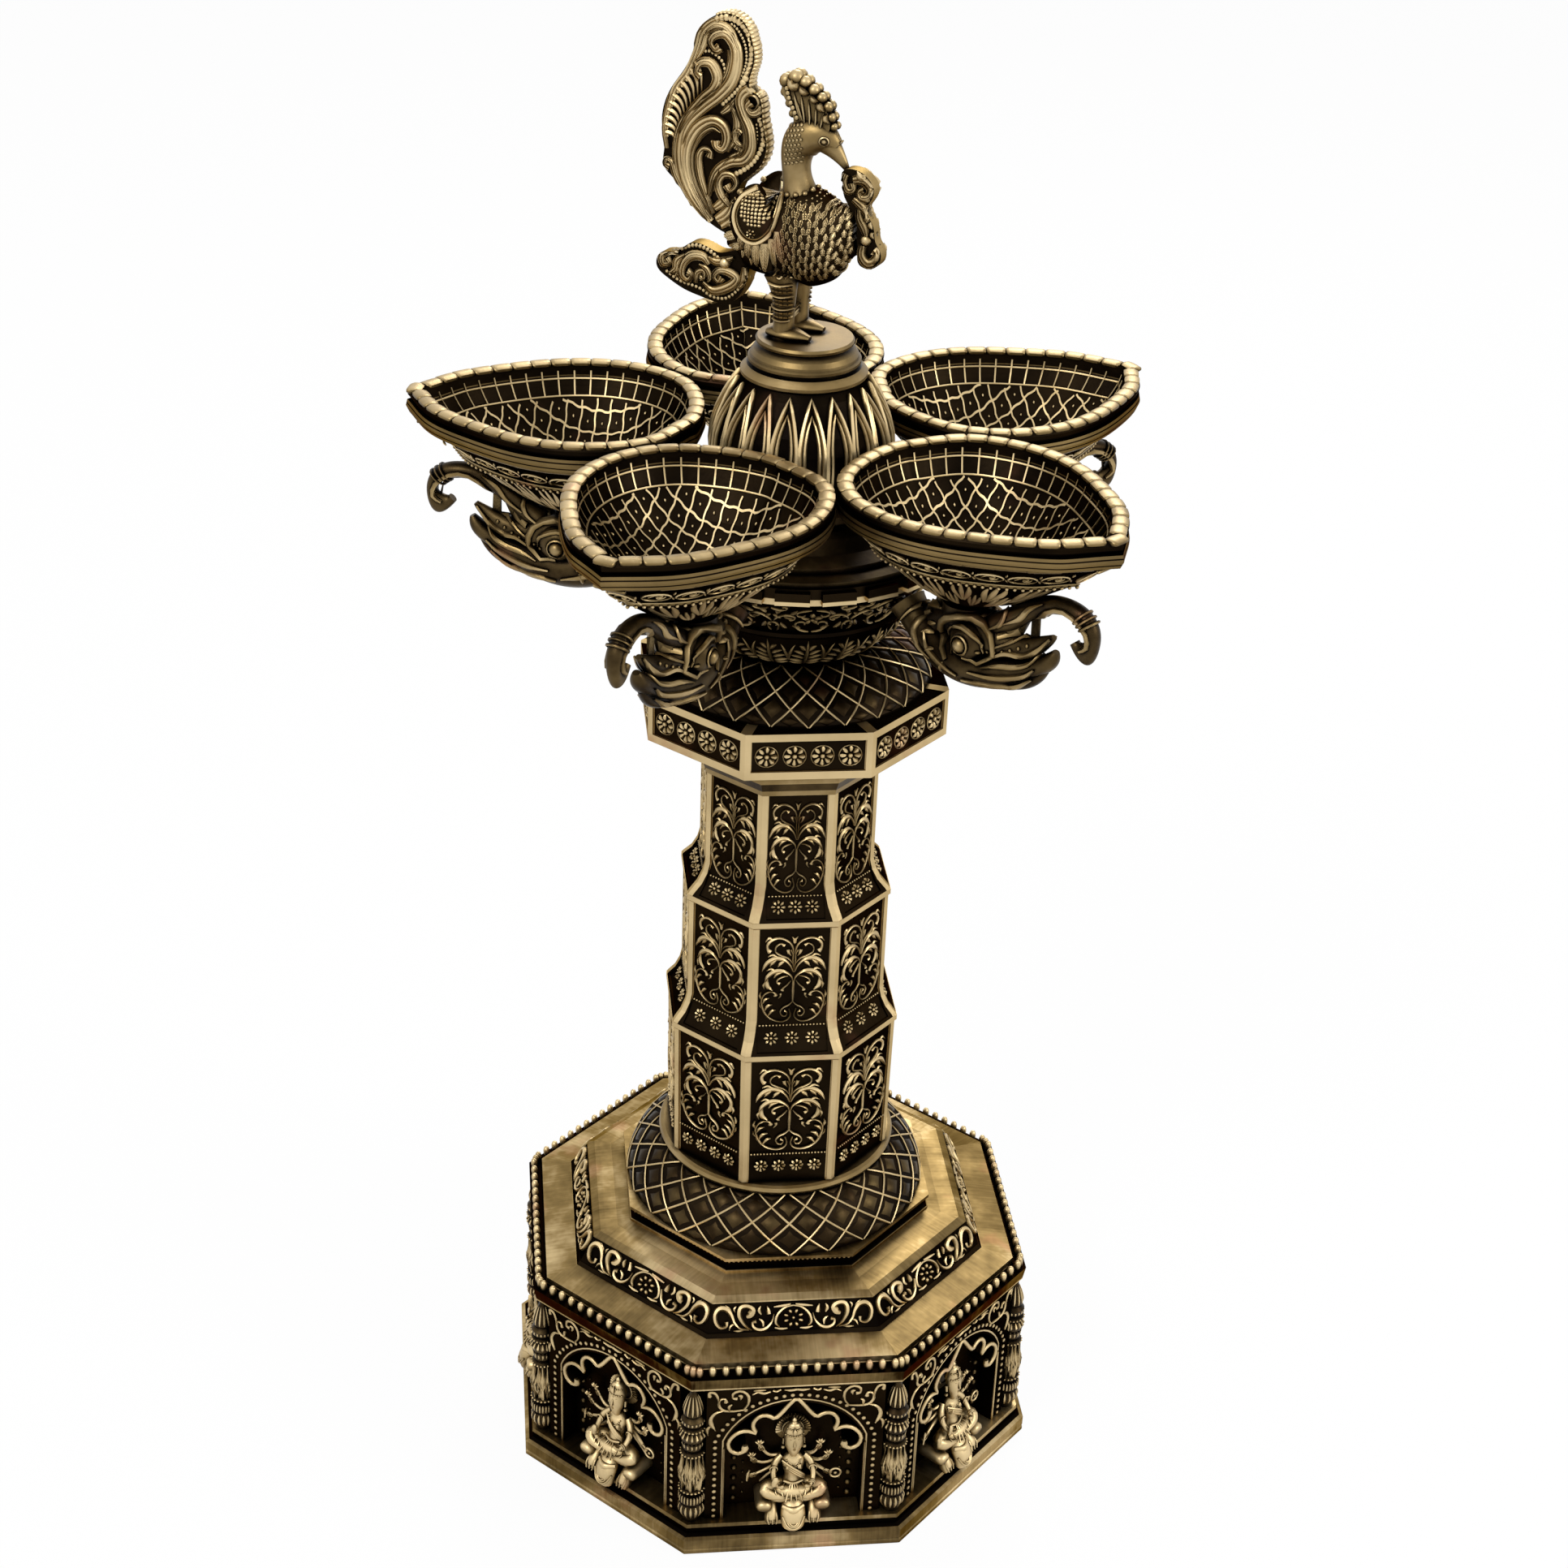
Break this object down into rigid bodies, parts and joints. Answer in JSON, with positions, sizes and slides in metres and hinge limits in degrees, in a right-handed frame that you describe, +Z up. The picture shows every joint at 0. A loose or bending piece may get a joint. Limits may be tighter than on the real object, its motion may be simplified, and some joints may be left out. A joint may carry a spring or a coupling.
{
  "type": "temple oil lamp",
  "caption": "Octagonal brass temple lamp: base with seated goddesses in arched niches, panelled column, ring of oil bowls on scrolled brackets, peacock finial.",
  "frame": {"origin": "on the lamp's axis, at the ground plane under the octagonal foot", "axes": "+Z up along the column; -Y out through the front face of the octagonal base, with +X to the viewer's right"},
  "size_m": [0.2878, 0.2798, 0.6071],
  "materials": {
    "aged_brass": "antique, dark recesses with rubbed gold relief",
    "brushed_brass": "brushed, lightly stained",
    "fastener_brass": "turned, unpolished"
  },
  "bodies": {
    "stand": {"plinth_foot": "aged_brass", "base_drum": "aged_brass", "corner_colonnette_1": "aged_brass", "corner_colonnette_2": "aged_brass", "corner_colonnette_3": "aged_brass", "corner_colonnette_4": "aged_brass", "corner_colonnette_5": "aged_brass", "corner_colonnette_6": "aged_brass", "corner_colonnette_7": "aged_brass", "corner_colonnette_8": "aged_brass", "goddess_figure_1": "aged_brass", "goddess_figure_2": "aged_brass", "goddess_figure_3": "aged_brass", "goddess_figure_4": "aged_brass", "goddess_figure_5": "aged_brass", "goddess_figure_6": "aged_brass", "goddess_figure_7": "aged_brass", "goddess_figure_8": "aged_brass", "base_cornice": "brushed_brass", "frieze_tier": "aged_brass", "stepped_slab": "brushed_brass", "dome_plinth": "aged_brass", "lower_lattice_dome": "aged_brass", "column_foot_ring": "aged_brass", "column_lower_tier": "aged_brass", "column_middle_tier": "aged_brass", "column_upper_tier": "aged_brass", "capital": "aged_brass", "upper_lattice_dome": "aged_brass", "tie_rod": "fastener_brass", "tie_rod_washer": "fastener_brass", "tie_rod_nut": "fastener_brass", "crown_spigot": "fastener_brass"},
    "crown": {"hub_cup": "aged_brass", "hub_block_ring": "aged_brass", "hub_cap": "aged_brass", "bowl_bracket_1": "aged_brass", "bowl_bracket_2": "aged_brass", "bowl_bracket_3": "aged_brass", "bowl_bracket_4": "aged_brass", "bowl_bracket_5": "aged_brass", "oil_bowl_1": "aged_brass", "oil_bowl_2": "aged_brass", "oil_bowl_3": "aged_brass", "oil_bowl_4": "aged_brass", "oil_bowl_5": "aged_brass", "bowl_screws": "fastener_brass", "bracket_screws": "fastener_brass", "lotus_bud": "aged_brass", "bud_collar": "aged_brass", "crown_stud": "fastener_brass"},
    "finial_washer_body": {"finial_washer": "fastener_brass"},
    "finial": {"finial_stud": "fastener_brass", "finial_base": "aged_brass", "peacock_legs": "aged_brass", "peacock_body": "aged_brass", "peacock_head": "aged_brass", "beak_garland": "aged_brass", "tail_plume": "aged_brass", "lower_plume": "aged_brass"}
  },
  "joints": [
    {"name": "crown_lift", "type": "slide", "parent": "stand", "child": "crown", "axis": [0, 0, 1], "range_m": [0, 0.036]},
    {"name": "finial_rise", "type": "slide", "parent": "crown", "child": "finial_washer_body", "axis": [0, 0, 1], "range_m": [0, 0.0081]},
    {"name": "finial_turn", "type": "hinge", "parent": "finial_washer_body", "child": "finial", "pos_m": [0, 0, 0.485], "axis": [0, 0, 1], "range_deg": [0, 1440]}
  ],
  "couplings": [
    {"joint": "finial_rise", "follows": "finial_turn", "m_per_rad": 0.00031831}
  ]
}
